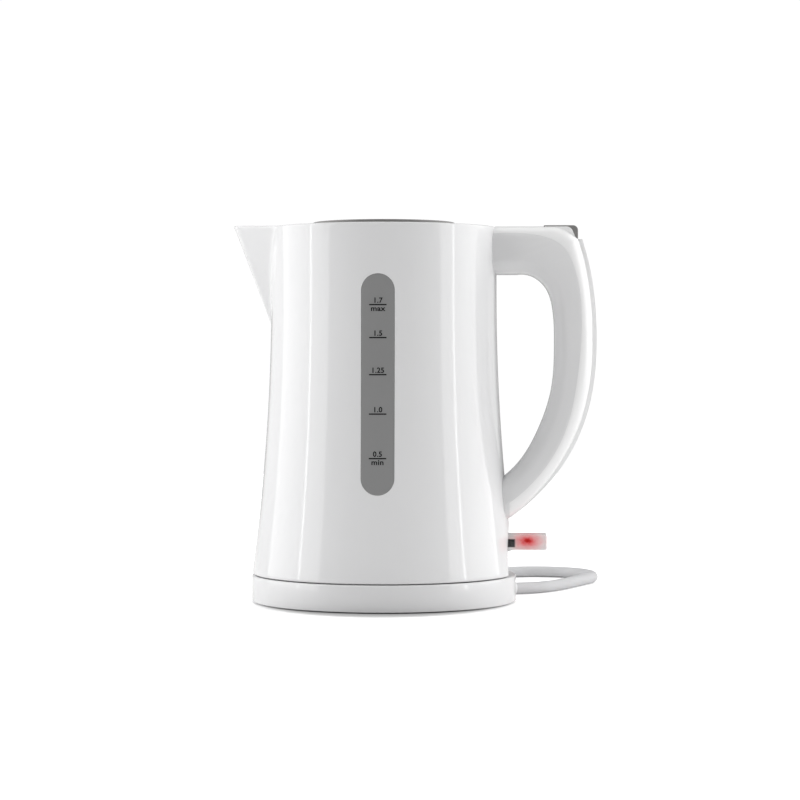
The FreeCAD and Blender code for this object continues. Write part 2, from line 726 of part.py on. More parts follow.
def relief_way(radius):
    """Round way out of the base for the lead's strain relief."""
    start = polar(BASE_R - RELIEF_IN - 2, CORD_ANGLE, RELIEF_Z)
    return rod(start, polar(BASE_R + RELIEF_OUT, CORD_ANGLE, RELIEF_Z), radius)


def base_plate():
    """Underside of the base, with a groove for the rubber ring."""
    plate = cylinder(BASE_R - BASE_WALL - 0.2, BASE_FOOT, BASE_FOOT + 2)
    cuts = [tube(66, 62, 0, BASE_FOOT + 1)]
    for x, y in base_screw_places():
        cuts.append(cylinder(1.7, 0, 10, x, y))
        cuts.append(cylinder(3.1, 0, BASE_FOOT + 1, x, y))
    return plate.cut(cuts + [relief_way(4.6)]).removeSplitter()


def ring_foot():
    """Soft ring that the base stands on, with a tongue in the plate's groove and a dip for the lead."""
    ring = tube(68, 60, 0, BASE_FOOT).fuse(tube(66, 62, BASE_FOOT, BASE_FOOT + 1))
    return ring.cut(relief_way(4.3)).removeSplitter()


def base_screws():
    screws = []
    for x, y in base_screw_places():
        head = cylinder(2.9, BASE_FOOT - 0.05, BASE_FOOT + 1, x, y)
        screws.append(head.fuse(cylinder(1.2, BASE_FOOT + 1, 10.5, x, y)).removeSplitter())
    return group(screws)


def connector_tower():
    """Round plug in the middle of the base: a centre bore and a ring slot for the jug's contacts."""
    tower = cylinder(TOWER_R, BASE_TOP - BASE_WALL - 2, TOWER_TOP)
    tower = rounded(tower, 1.0, at_height(TOWER_TOP))
    flange = cylinder(TOWER_R + 5, BASE_TOP - BASE_WALL - 2, BASE_TOP - BASE_WALL)
    slots = [cylinder(3.4, SLOT_Z, 30), tube(RING_R + 1.4, RING_R - 2.2, SLOT_Z, 30)]
    pocket = cylinder(TOWER_R - 1.5, 5, 12.4)
    return tower.fuse(flange).cut(slots + [pocket]).removeSplitter()


def live_contact():
    """Sprung strip in the centre bore, on a foot at its bottom."""
    strip = block(2.1, 2.5, -1, 1, SLOT_Z, 24)
    return strip.fuse(block(2.1, 3.2, -1, 1, SLOT_Z, SLOT_Z + 0.5)).removeSplitter()


def neutral_contact():
    """Sprung strip in the ring slot."""
    near = RING_R + 0.5
    strip = block(-near - 0.4, -near, -2, 2, SLOT_Z, 24)
    return strip.fuse(block(-near - 0.7, -near, -2, 2, SLOT_Z, SLOT_Z + 0.5)).removeSplitter()


def earth_contact():
    """Sprung strip on the side of the tower."""
    return block(-2, 2, TOWER_R, TOWER_R + 0.35, BASE_TOP - BASE_WALL, 24)


def cord_relief():
    """Tapered sleeve on the lead where it leaves the base."""
    inner = polar(BASE_R - RELIEF_IN, CORD_ANGLE, RELIEF_Z)
    outer = polar(BASE_R + RELIEF_OUT, CORD_ANGLE, RELIEF_TIP_Z)
    return cone(inner, outer, RELIEF_ROOT_R, RELIEF_TIP_R)


def cord_clamp():
    """Bridge that grips the lead inside the base."""
    bridge = block(-2.5, 2.5, -9, 9, BASE_FOOT + 2, 11).cut(block(-4, 4, -4.6, 4.6, 0, 8.2))
    bridge = bridge.cut([cylinder(1.3, 0, 20, 0, y) for y in (-6.8, 6.8)])
    return along_cord(bridge)


def clamp_screws():
    screws = []
    for y in (-6.8, 6.8):
        screws.append(cylinder(2.3, 11, 12.2, 0, y).fuse(cylinder(1.3, 5, 11, 0, y)).removeSplitter())
    return along_cord(group(screws))


def along_cord(shape):
    """Turns and moves a piece drawn at the origin to the clamp's place on the lead."""
    placed = shape.copy()
    placed.rotate(Vector(), Vector(0, 0, 1), CORD_ANGLE)
    placed.translate(Vector(*polar(BASE_R - 21, CORD_ANGLE)))
    return placed


def base_wire(offset, height, end_angle):
    """One insulated conductor from the lead to the underside of the tower."""
    side = math.radians(CORD_ANGLE + 90)
    shift = Vector(math.cos(side), math.sin(side), 0) * offset
    start = Vector(*polar(BASE_R - RELIEF_IN - 0.4, CORD_ANGLE, height)) + shift
    middle = Vector(*polar(BASE_R - 32, CORD_ANGLE, height)) + shift
    end = Vector(*polar(11.5, end_angle, height + 1.5))
    path = route_wire([start, middle, end])
    return swept(path, start, middle, 0.95)


def live_wire():
    return base_wire(-2.2, 5.6, 4)


def neutral_wire():
    return base_wire(0, 5.6, 21)


def earth_wire():
    return base_wire(2.2, 5.6, 38)


# ------------------------------------------------------------------ lead and plug
def route_wire(points):
    """Straight runs joined by tangent arcs, each as large as its two runs allow."""
    share = 0.45
    edges = []
    previous = points[0]
    for before, corner, after in zip(points, points[1:], points[2:]):
        back = before - corner
        ahead = after - corner
        shorter = min(back.Length, ahead.Length)
        half_turn = (math.pi - back.getAngle(ahead)) / 2
        back.normalize()
        ahead.normalize()
        tangent = share * shorter
        radius = tangent / math.tan(half_turn)
        enter = corner + back * tangent
        leave = corner + ahead * tangent
        towards_centre = (back + ahead).normalize()
        middle = corner + towards_centre * (radius / math.cos(half_turn) - radius)
        edges.append(Part.makeLine(previous, enter))
        edges.append(Part.Arc(enter, middle, leave).toShape())
        previous = leave
    edges.append(Part.makeLine(previous, points[-1]))
    return Part.Wire(edges)


def swept(path, start, towards, radius):
    """A round section swept along a path."""
    section = Part.Wire(Part.makeCircle(radius, start, towards - start))
    return path.makePipeShell([section], True, False)


def lead(points):
    """One length of the lead, with its volume compared with its section times its length."""
    route = [Vector(*point) for point in points]
    path = route_wire(route)
    solid = swept(path, route[0], route[1], CORD_D / 2)
    expected = math.pi * CORD_D ** 2 / 4 * path.Length
    print("lead", round(path.Length, 1), "mm, volume ratio", round(solid.Volume / expected, 4))
    return solid


def cord_run():
    """The lead from its strain relief, along the table and round behind the kettle to its coil."""
    return lead(CORD_ROUTE)


def cord_coil():
    """Outer shape of the coiled lead."""
    rise = CORD_D * COIL_TURNS
    return tube(COIL_R + CORD_D / 2, COIL_R - CORD_D / 2, 0.05, 0.05 + CORD_D + rise, COIL_X, COIL_Y)


def cord_tail():
    """The last stretch of the lead, from the top of the coil down to the plug."""
    return lead(CORD_TAIL)


def plug_axis(distance):
    """A point on the plug's axis, measured from the end of its sleeve."""
    heading = math.radians(PLUG_HEADING)
    lift = math.radians(PLUG_TILT)
    level = distance * math.cos(lift)
    x, y, z = CORD_TAIL[-1]
    return (x + level * math.cos(heading), y + level * math.sin(heading), z + distance * math.sin(lift))


def plug_body():
    """Moulded plug: a tapered sleeve, a waisted grip and a round face plate with two side notches."""
    sleeve = cone(plug_axis(0), plug_axis(20), 4.2, 6.5)
    grip = cone(plug_axis(20), plug_axis(30), 9.5, 12.0)
    body = cone(plug_axis(30), plug_axis(36), 12.0, 18.0)
    face = rod(plug_axis(36), plug_axis(52), 18.0)
    plug = join([sleeve, grip, body, face])
    for side in (-1, 1):
        plug = plug.cut(rod(earth_point(side, 33), earth_point(side, 60), 3.2))
    return plug.removeSplitter()


def earth_point(side, distance):
    """A point beside the plug's axis, above or below it, where an earth clip lies."""
    lift = math.radians(PLUG_TILT)
    heading = math.radians(PLUG_HEADING)
    offset = 18.0 * side
    x, y, z = plug_axis(distance)
    return (
        x - offset * math.sin(lift) * math.cos(heading),
        y - offset * math.sin(lift) * math.sin(heading),
        z + offset * math.cos(lift),
    )


def plug_pins():
    heading = math.radians(PLUG_HEADING + 90)
    pins = []
    for side in (-0.5, 0.5):
        shift = Vector(math.cos(heading), math.sin(heading), 0) * (PIN_SPACING * side)
        start = Vector(*plug_axis(52)) + shift
        end = Vector(*plug_axis(52 + PIN_LENGTH)) + shift
        pins.append(rod(start, end, PIN_R))
    return group(pins)


def plug_earth_clips():
    """Spring clips in the notches at the plug's sides."""
    return group([rod(earth_point(side * 0.86, 38), earth_point(side * 0.86, 51), 0.8) for side in (-1, 1)])


# ------------------------------------------------------------------ all sub-parts
SUBPARTS = [
    base_cover, base_plate, ring_foot, base_screws, connector_tower, live_contact, neutral_contact,
    earth_contact, cord_relief, cord_clamp, clamp_screws, live_wire, neutral_wire, earth_wire,
    cord_run, cord_coil, cord_tail, plug_body, plug_pins, plug_earth_clips,
    jug_body, top_collar, filter_frame, filter_mesh, water_window, heater_plate, plate_seal,
    heat_diffuser, heating_element, element_pins, control_housing, live_pin, neutral_ring, earth_ring,
    bimetal_discs, bottom_cover, bottom_screws, steam_tube, steam_tube_seal, switch_frame, steam_disc,
    switch_pins, fixed_contact, jug_wires, handle_core, handle_cover, handle_screws, lid_hinge_pin,
    lid_cover, lid_inner, lid_seal, lid_button, button_spring, release_rod,
    switch_lever, lever_core, switch_lamp, trip_lever,
]

os.makedirs("parts", exist_ok=True)
for make in SUBPARTS:
    make().exportStep("parts/" + make.__name__ + ".step")
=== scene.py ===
import json
import math

import bmesh
import bpy
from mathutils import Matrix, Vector

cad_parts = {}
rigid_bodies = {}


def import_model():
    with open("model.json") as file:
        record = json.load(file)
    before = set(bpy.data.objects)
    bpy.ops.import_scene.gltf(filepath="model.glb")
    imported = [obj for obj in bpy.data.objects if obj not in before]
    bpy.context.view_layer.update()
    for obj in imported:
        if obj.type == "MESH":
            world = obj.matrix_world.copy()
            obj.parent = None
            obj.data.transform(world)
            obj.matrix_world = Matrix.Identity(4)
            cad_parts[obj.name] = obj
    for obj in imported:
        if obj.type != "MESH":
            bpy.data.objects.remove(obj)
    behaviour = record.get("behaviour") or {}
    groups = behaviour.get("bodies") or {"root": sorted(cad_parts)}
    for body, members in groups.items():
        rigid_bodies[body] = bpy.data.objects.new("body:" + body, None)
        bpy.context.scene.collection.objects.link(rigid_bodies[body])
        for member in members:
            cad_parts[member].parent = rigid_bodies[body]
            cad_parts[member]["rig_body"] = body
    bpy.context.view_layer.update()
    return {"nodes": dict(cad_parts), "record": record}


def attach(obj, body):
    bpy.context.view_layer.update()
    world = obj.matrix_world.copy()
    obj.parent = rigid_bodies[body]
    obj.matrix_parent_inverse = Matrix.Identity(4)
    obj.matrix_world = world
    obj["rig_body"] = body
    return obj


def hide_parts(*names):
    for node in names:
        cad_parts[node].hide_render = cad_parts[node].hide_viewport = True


# A cordless jug kettle on its power base. The object's sizes are in millimetres and become
# metres where a mesh or a curve is made; the camera, lights and materials are in metres.
# The spout points to -X, the handle to +X and the water window to -Y.

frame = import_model()
scene = bpy.context.scene
MM = 0.001


# ------------------------------------------------------------------ camera
def make_camera():
    turn = math.radians(3.0)
    right = Vector((math.cos(turn), math.sin(turn), 0))
    camera = bpy.data.objects.new("camera", bpy.data.cameras.new("camera"))
    scene.collection.objects.link(camera)
    camera.location = (0.0754, -1.4390, 0.1416)
    camera.data.lens = 110.25
    camera.data.sensor_width = 36.0
    aim = right * 0.0094 + Vector((0, 0, 0.1181))
    camera.rotation_euler = (aim - camera.location).to_track_quat("-Z", "Y").to_euler()
    scene.camera = camera


make_camera()


# ------------------------------------------------------------------ materials
def link(tree, start, end):
    tree.links.new(start, end)


def noise(tree, coordinates, scale, detail=3.0, stretch=None):
    """A noise value on the object's own coordinates."""
    node = tree.nodes.new("ShaderNodeTexNoise")
    node.inputs["Scale"].default_value = scale
    node.inputs["Detail"].default_value = detail
    if stretch:
        mapping = tree.nodes.new("ShaderNodeMapping")
        mapping.inputs["Scale"].default_value = stretch
        link(tree, coordinates, mapping.inputs["Vector"])
        coordinates = mapping.outputs["Vector"]
    link(tree, coordinates, node.inputs["Vector"])
    return node.outputs["Fac"]


def between(tree, factor, low, high):
    """The factor's range from 0.3 to 0.7 spread between two numbers."""
    node = tree.nodes.new("ShaderNodeMapRange")
    node.inputs["From Min"].default_value = 0.3
    node.inputs["From Max"].default_value = 0.7
    node.inputs["To Min"].default_value = low
    node.inputs["To Max"].default_value = high
    link(tree, factor, node.inputs["Value"])
    return node.outputs["Result"]


def colour_ramp(tree, factor, stops):
    """The colour that a factor has between (position, colour) stops."""
    node = tree.nodes.new("ShaderNodeValToRGB")
    elements = node.color_ramp.elements
    for element, (position, colour) in zip(elements, (stops[0], stops[-1])):
        element.position = position
        element.color = (*colour, 1)
    for position, colour in stops[1:-1]:
        elements.new(position).color = (*colour, 1)
    link(tree, factor, node.inputs["Fac"])
    return node.outputs["Color"]


def tinted(tree, factor, low, high):
    """The factor's range from 0.3 to 0.7 spread between two colours."""
    return colour_ramp(tree, factor, [(0.3, low), (0.7, high)])


def math_node(tree, operation, *values):
    node = tree.nodes.new("ShaderNodeMath")
    node.operation = operation
    for socket, value in zip(node.inputs, values):
        if isinstance(value, (int, float)):
            socket.default_value = value
        else:
            link(tree, value, socket)
    return node.outputs["Value"]


def step(tree, value, low, high):
    """0 below low, 1 above high."""
    node = tree.nodes.new("ShaderNodeMapRange")
    node.inputs["From Min"].default_value = low
    node.inputs["From Max"].default_value = high
    link(tree, value, node.inputs["Value"])
    return node.outputs["Result"]


def vector_node(tree, operation, start, other=None):
    node = tree.nodes.new("ShaderNodeVectorMath")
    node.operation = operation
    link(tree, start, node.inputs[0])
    if other:
        node.inputs[1].default_value = other
    return node


def surface(
    name, colour, rough, tone=0.03, tone_scale=35, grain_scale=1400, grain=0.02, stretch=None, **uniform
):
    """A Principled material: tone drifts slowly, roughness and a fine bump follow the grain."""
    material = bpy.data.materials.new(name)
    material.use_nodes = True
    tree = material.node_tree
    shader = tree.nodes["Principled BSDF"]
    place = tree.nodes.new("ShaderNodeTexCoord").outputs["Object"]
    drift = noise(tree, place, tone_scale)
    low = [c * (1 - tone) for c in colour]
    high = [min(1.0, c * (1 + tone)) for c in colour]
    link(tree, tinted(tree, drift, low, high), shader.inputs["Base Color"])
    fine = noise(tree, place, grain_scale, 4.0, stretch)
    link(tree, between(tree, fine, rough[0], rough[1]), shader.inputs["Roughness"])
    bump = tree.nodes.new("ShaderNodeBump")
    bump.inputs["Strength"].default_value = grain
    bump.inputs["Distance"].default_value = 0.0002
    link(tree, fine, bump.inputs["Height"])
    link(tree, bump.outputs["Normal"], shader.inputs["Normal"])
    for socket, value in uniform.items():
        shader.inputs[socket.replace("_", " ")].default_value = value
    return material


MATERIALS = {
    "white_shell": surface(
        "moulded_white", (0.80, 0.80, 0.805), (0.06, 0.10), 0.008, 12, 900, 0.008, IOR=1.5
    ),
    "white_lead": surface("lead_pvc", (0.60, 0.60, 0.61), (0.42, 0.55), 0.03, 60, 1600, 0.12),
    "grey_plastic": surface("satin_grey", (0.22, 0.215, 0.21), (0.28, 0.42), 0.05, 30, 2200, 0.10),
    "smoked_window": surface(
        "smoked_window", (0.262, 0.263, 0.263), (0.22, 0.26), 0.015, 18, 500, 0.004
    ),
    "black_plastic": surface("black_nylon", (0.022, 0.022, 0.024), (0.32, 0.5), 0.15, 50, 1800, 0.2),
    "rubber": surface("soft_rubber", (0.10, 0.10, 0.10), (0.6, 0.8), 0.08, 80, 2600, 0.3),
    "silicone": surface(
        "silicone", (0.72, 0.71, 0.67), (0.38, 0.5), 0.04, 60, 1500, 0.1, Transmission_Weight=0.15
    ),
    "brass": surface("brass", (0.78, 0.57, 0.27), (0.2, 0.36), 0.06, 90, 2400, 0.1, Metallic=1.0),
    "steel": surface(
        "brushed_steel", (0.60, 0.60, 0.61), (0.2, 0.36), 0.05, 40, 1800, 0.15, (1, 0.06, 1), Metallic=1.0
    ),
    "steel_mesh": surface(
        "mesh_steel", (0.62, 0.63, 0.64), (0.22, 0.35), 0.05, 80, 2600, 0.1, Metallic=1.0
    ),
    "aluminium": surface(
        "cast_aluminium", (0.70, 0.71, 0.73), (0.38, 0.55), 0.07, 45, 900, 0.3, Metallic=1.0
    ),
    "brown_wire": surface("wire_brown", (0.19, 0.08, 0.035), (0.35, 0.5), 0.06, 90, 2000, 0.1),
    "blue_wire": surface("wire_blue", (0.04, 0.13, 0.45), (0.35, 0.5), 0.06, 90, 2000, 0.1),
    "green_wire": surface("wire_green", (0.22, 0.42, 0.06), (0.35, 0.5), 0.06, 90, 2000, 0.1),
}
# A lighter copy of moulded_white for the handle's cover and cheeks: painted light, standing in for
# brighter light on the handle.
COVER_WHITE_PAINTED_LIGHT = surface("cover_white_painted_light", (0.94, 0.94, 0.94), (0.06, 0.10), 0.008, 12, 900, 0.008, IOR=1.5)
INK = surface(
    "printed_ink", (0.012, 0.012, 0.013), (0.5, 0.7), 0.1, 60, 2400, 0.05, Specular_IOR_Level=0.1
)

LAMP_Z = 35.2               # height of the lamp's axis
GLOW_AT = (0.0842, 0.0362)  # X and Z where the painted glow of the lamp's red light on the lever is reddest
GLOW_REACH = (0.0019, 0.0115)
ROOT_SHADE_Z = 0.035            # middle of the black band of painted shade at the lever's root
ROOT_SHADE_HALF = (0.0021, 0.0026)
ROOT_SHADE_END = (0.0766, 0.0774)


def clear_material():
    """Frosted clear plastic, with the lamp's red light painted round its lamp as a pink glow, and painted
    shade in black at its root.
    """
    material = surface(
        "clear_lever", (0.9, 0.9, 0.9), (0.12, 0.22), 0.01, 30, 700, 0.02,
        IOR=1.49, Transmission_Weight=0.30
    )
    tree = material.node_tree
    shader = tree.nodes["Principled BSDF"]
    axes = tree.nodes.new("ShaderNodeSeparateXYZ")
    place = tree.nodes.new("ShaderNodeTexCoord").outputs["Object"]
    link(tree, place, axes.inputs["Vector"])
    along, height = axes.outputs["X"], axes.outputs["Z"]
    # Painted glow: the lamp's red light on the lever as colour and a weak emission, fading away from
    # GLOW_AT.
    dx = math_node(tree, "MULTIPLY", math_node(tree, "SUBTRACT", along, GLOW_AT[0]), 0.8)
    dz = math_node(tree, "MULTIPLY", math_node(tree, "SUBTRACT", height, GLOW_AT[1]), 1.35)
    squares = math_node(tree, "ADD", math_node(tree, "POWER", dx, 2), math_node(tree, "POWER", dz, 2))
    far = math_node(tree, "SQRT", squares)
    uneven = math_node(tree, "MULTIPLY_ADD", noise(tree, place, 520), 0.0034, far)
    glow = colour_ramp(tree, step(tree, uneven, *GLOW_REACH), [
        (0.0, (0.55, 0.0, 0.0)), (0.08, (0.66, 0.02, 0.02)), (0.2, (0.86, 0.15, 0.16)),
        (0.42, (0.9, 0.42, 0.43)), (0.7, (0.9, 0.66, 0.66)), (1.0, (0.86, 0.85, 0.85)),
    ])
    # Painted shade: black on the lever's root, below X 76.6 mm and within a band round its middle height.
    from_middle = math_node(tree, "ABSOLUTE", math_node(tree, "SUBTRACT", height, ROOT_SHADE_Z))
    rim = step(tree, from_middle, *ROOT_SHADE_HALF)
    unshaded = math_node(tree, "MAXIMUM", step(tree, along, *ROOT_SHADE_END), rim)
    mixed = tree.nodes.new("ShaderNodeMix")
    mixed.data_type = "RGBA"
    link(tree, unshaded, mixed.inputs["Factor"])
    # The painted shade's black.
    mixed.inputs[6].default_value = (0.03, 0.03, 0.032, 1)
    link(tree, glow, mixed.inputs[7])
    link(tree, mixed.outputs[2], shader.inputs["Base Color"])
    link(tree, mixed.outputs[2], shader.inputs["Emission Color"])
    shader.inputs["Emission Strength"].default_value = 0.10
    return material


def lamp_material(name, strength, colour):
    material = surface(name, colour, (0.15, 0.25), 0.05, 120, 1600, 0.05)
    shader = material.node_tree.nodes["Principled BSDF"]
    shader.inputs["Emission Color"].default_value = (*colour, 1)
    shader.inputs["Emission Strength"].default_value = strength
    return material


MATERIALS["clear_lever"] = clear_material()
MATERIALS["red_lamp"] = lamp_material("lit_lamp", 0.5, (0.75, 0.03, 0.04))


# ------------------------------------------------------------------ mesh helpers
SHARP = math.radians(32)
SLOT_OF = {part["node"]: part["material_slot"] for part in frame["record"]["subparts"]}
BODY_OF = {node: obj["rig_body"] for node, obj in frame["nodes"].items()}


def mesh_object(name, points, faces, sharp=SHARP):
    """A smooth-shaded object from points in millimetres."""
    mesh = bpy.data.meshes.new(name)
    mesh.from_pydata([[c * MM for c in p] for p in points], [], faces)
    form = bmesh.new()
    form.from_mesh(mesh)
    bmesh.ops.recalc_face_normals(form, faces=form.faces)
    form.to_mesh(mesh)
    form.free()
    return shown(name, mesh, sharp)


def shown(name, mesh, sharp=SHARP):
    mesh.shade_smooth()
    mesh.set_sharp_from_angle(angle=sharp)
    obj = bpy.data.objects.new(name, mesh)
    scene.collection.objects.link(obj)
    return obj


def applied(obj, sharp=SHARP):
    """Turns the object's modifiers into its mesh."""
    bpy.context.view_layer.update()
    shape = obj.evaluated_get(bpy.context.evaluated_depsgraph_get())
    mesh = bpy.data.meshes.new_from_object(shape)
    obj.modifiers.clear()
    obj.data = mesh
    mesh.shade_smooth()
    mesh.set_sharp_from_angle(angle=sharp)
    return obj


def piece(obj, slot, body, nodes=(), material=None):
    """Gives a new piece its material, from its slot unless one is given, and its body, and hides the CAD
    nodes that it stands for.
    """
    obj.data.materials.clear()
    obj.data.materials.append(material or MATERIALS[slot])
    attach(obj, body)
    if nodes:
        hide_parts(*nodes)
    return obj


def for_node(obj, node, material=None):
    return piece(obj, SLOT_OF[node], BODY_OF[node], [node], material)


def cut_away(obj, cutters):
    """Cuts closed objects out of a mesh and removes them."""
    for cutter in cutters:
        modifier = obj.modifiers.new("cut", "BOOLEAN")
        modifier.operation = "DIFFERENCE"
        modifier.solver = "EXACT"
        modifier.object = cutter
    applied(obj)
    for cutter in cutters:
        bpy.data.objects.remove(cutter)
    return obj


def refined(node, width, material=None):
    """A copy of a CAD node's shape with its edges softened."""
    form = bmesh.new()
    form.from_mesh(frame["nodes"][node].data)
    bmesh.ops.remove_doubles(form, verts=form.verts, dist=1e-6)
    bmesh.ops.dissolve_limit(form, angle_limit=math.radians(0.15), verts=form.verts, edges=form.edges)
    form.verts.index_update()
    points = [[c / MM for c in v.co] for v in form.verts]
    faces = [[v.index for v in f.verts] for f in form.faces]
    form.free()
    obj = mesh_object(node + "_fine", points, faces)
    bevel = obj.modifiers.new("soften", "BEVEL")
    bevel.width = width * MM
    bevel.segments = 2
    bevel.limit_method = "ANGLE"
    bevel.angle_limit = math.radians(40)
    bevel.use_clamp_overlap = True
    return for_node(applied(obj, math.radians(50)), node, material)


def polar(radius, degrees, z=0.0):
    angle = math.radians(degrees)
    return (radius * math.cos(angle), radius * math.sin(angle), z)


def softened(corners, steps=5):
    """A closed outline from (x, z, radius) corners, with arcs in place of the corners."""
    outline = []
    count = len(corners)
    for i, (x, z, radius) in enumerate(corners):
        here = Vector((x, z))
        if not radius:
            outline.append((x, z))
            continue
        back = (Vector(corners[i - 1][:2]) - here).normalized()
        ahead = (Vector(corners[(i + 1) % count][:2]) - here).normalized()
        half = back.angle(ahead) / 2
        centre = here + (back + ahead).normalized() * (radius / math.sin(half))
        enter = here + back * (radius / math.tan(half)) - centre
        leave = here + ahead * (radius / math.tan(half)) - centre
        for k in range(steps + 1):
            arm = enter.slerp(leave, k / steps).normalized() * radius
            outline.append((centre.x + arm.x, centre.y + arm.y))
    return outline


def lathe(name, outline, axis_point=(0, 0, 0), axis=(0, 0, 1), count=192, sharp=SHARP):
    """Turns a closed (radius, height) outline round an axis."""
    turn = Vector((0, 0, 1)).rotation_difference(Vector(axis))
    points = []
    for i in range(count):
        angle = 2 * math.pi * i / count
        for r, h in outline:
            arm = turn @ Vector((r * math.cos(angle), r * math.sin(angle), h))
            points.append(arm + Vector(axis_point))
    return mesh_object(name, points, grid_faces(count, len(outline)), sharp)


def grid_faces(columns, rows):
    """Quads of a grid that closes both ways."""
    faces = []
    for i in range(columns):
        for j in range(rows):
            a, b = i * rows + j, i * rows + (j + 1) % rows
            c, d = (i + 1) % columns * rows + (j + 1) % rows, (i + 1) % columns * rows + j
            faces.append((a, d, c, b))
    return faces


def box_object(name, x0, x1, y0, y1, z0, z1):
    points = [(x, y, z) for x in (x0, x1) for y in (y0, y1) for z in (z0, z1)]
    faces = [(0, 1, 3, 2), (4, 6, 7, 5), (0, 4, 5, 1), (2, 3, 7, 6), (0, 2, 6, 4), (1, 5, 7, 3)]
    return mesh_object(name, points, faces)


# ------------------------------------------------------------------ lead and plug
CORD_D = 7.0
LEAD_Z = 3.6                # height of its axis where it lies on the floor
CORD_ANGLE = 27.0
CORD_EXIT = (77.07, 39.27, 3.9)
CORD_ROUTE = [
    CORD_EXIT, (88.8, 46.0, 3.6), (99.3, 58.1, 3.6), (108.7, 75.8, 3.6), (117.7, 98.1, 3.6),
    (127.5, 120.0, 3.6), (124.6, 140.3, 3.6), (111.2, 155.8, 3.6), (91.5, 161.4, 3.6), (70.5, 155.0, 3.6),
    (46.7, 142.3, 3.6),
]
CORD_TAIL = [
    (39.2, 139.4, 17.9), (26.2, 135.9, 17.3), (13.2, 130.7, 12.8), (0.9, 123.9, 7.8), (-9.7, 116.4, 5.0),
]
COIL_CENTRE = (30.0, 173.7)
COIL_R = 35.5
COIL_TURNS = 2.036          # clockwise from above
COIL_START = -62.0
COIL_STEPS = 30             # points on the coil's turns, about 14 to a turn
PLUG_HEADING = 215.3
PLUG_TILT = 20.0
PLUG_FACE_R = 18.0
PLUG_LENGTH = 52.0
PIN_SPACING = 19.0


def coil_points():
    """Turns of the coiled lead, a diameter apart, that start and end on its route."""
    hull_r = COIL_R / (0.5 + 0.5 * math.cos(2 * math.pi * COIL_TURNS / COIL_STEPS))
    points = []
    for i in range(1, COIL_STEPS):
        share = i / COIL_STEPS
        x, y, _ = polar(hull_r, COIL_START - 360 * COIL_TURNS * share)
        points.append((COIL_CENTRE[0] + x, COIL_CENTRE[1] + y, LEAD_Z + CORD_D * COIL_TURNS * share))
    return points


def make_lead():
    curve = bpy.data.curves.new("mains_lead", "CURVE")
    curve.dimensions = "3D"
    curve.bevel_depth = CORD_D / 2 * MM
    curve.bevel_resolution = 6
    curve.resolution_u = 16
    curve.use_fill_caps = True
    route = CORD_ROUTE + coil_points() + CORD_TAIL
    spline = curve.splines.new("NURBS")
    spline.points.add(len(route) - 1)
    for point, place in zip(spline.points, route):
        point.co = [c * MM for c in place] + [1]
    spline.order_u = 3
    spline.use_endpoint_u = True
    lead = bpy.data.objects.new("mains_lead", curve)
    scene.collection.objects.link(lead)
    return piece(lead, "white_lead", "base", ["cord_run", "cord_coil", "cord_tail"])


def plug_axis(distance, side=0.0, above=0.0):
    """A point on the plug's axis, or beside it or above it."""
    heading = math.radians(PLUG_HEADING)
    lift = math.radians(PLUG_TILT)
    level = distance * math.cos(lift) - above * math.sin(lift)
    x, y, z = CORD_TAIL[-1]
    return (
        x + level * math.cos(heading) - side * math.sin(heading),
        y + level * math.sin(heading) + side * math.cos(heading),
        z + distance * math.sin(lift) + above * math.cos(lift),
    )


def plug_direction():
    return Vector(plug_axis(1)) - Vector(plug_axis(0))


def make_plug():
    sleeve = []
    for i in range(6):
        start = 1.0 + 3.1 * i
        r = 4.3 + 0.11 * start
        sleeve += [(r, start), (r, start + 1.7), (r - 0.9, start + 2.0), (r - 0.9, start + 2.9)]
    outline = [(3.3, 0), (4.0, 0.2)] + sleeve
    outline += [(7.2, 20.2), (9.2, 20.8), (9.9, 22.5), (10.3, 25.0), (10.9, 28.0), (12.0, 30.5)]
    outline += [(14.4, 33.5), (16.8, 35.2), (17.7, 36.6), (PLUG_FACE_R, 38.0), (PLUG_FACE_R, 50.9)]
    outline += [(17.7, 51.6), (17.0, 51.95), (3.3, PLUG_LENGTH)]
    body = lathe("plug_body_fine", outline, plug_axis(0), plug_direction(), 128)
    cutters = []
    for sign in (-1, 1):
        notch = [(0.05, 0), (3.2, 0), (3.2, 30), (0.05, 30)]
        cutters.append(lathe("notch", notch, plug_axis(33, 0, PLUG_FACE_R * sign), plug_direction(), 32))
    body = for_node(cut_away(body, cutters), "plug_body")
    pins = []
    for sign in (-0.5, 0.5):
        pin = [(0.05, -1), (2.4, -1), (2.4, 16.5), (2.2, 17.8), (1.6, 18.7), (0.9, 19.0), (0.05, 19.0)]
        pins.append(lathe("pin", pin, plug_axis(PLUG_LENGTH, PIN_SPACING * sign), plug_direction(), 32))
    clips = refined("plug_earth_clips", 0.2)
    return [body, for_node(merged("plug_pins_fine", pins), "plug_pins"), clips]


def merged(name, objects):
    """One object from several meshes that stay as they are."""
    form = bmesh.new()
    for obj in objects:
        form.from_mesh(obj.data)
        bpy.data.objects.remove(obj)
    mesh = bpy.data.meshes.new(name)
    form.to_mesh(mesh)
    form.free()
    return shown(name, mesh)


def make_relief():
    """Ribbed, tapered sleeve where the lead leaves the base."""
    start, end = Vector(polar(65.5, CORD_ANGLE, 4.6)), Vector(polar(86.5, CORD_ANGLE, 3.9))
    outline = [(3.3, 0.0), (4.05, 0.1), (4.08, 11.2)]
    for i in range(4):
        place = 12.6 + 2.0 * i
        r = 4.08 - 0.035 * (place - 11)
        outline += [(r, place), (r - 0.5, place + 0.25), (r - 0.5, place + 0.75), (r - 0.02, place + 1.0)]
    outline += [(3.75, 20.6), (3.6, 21.0), (3.3, 21.0)]
    sleeve = lathe("cord_relief_fine", outline, start, end - start, 64, math.radians(60))
    return for_node(sleeve, "cord_relief")


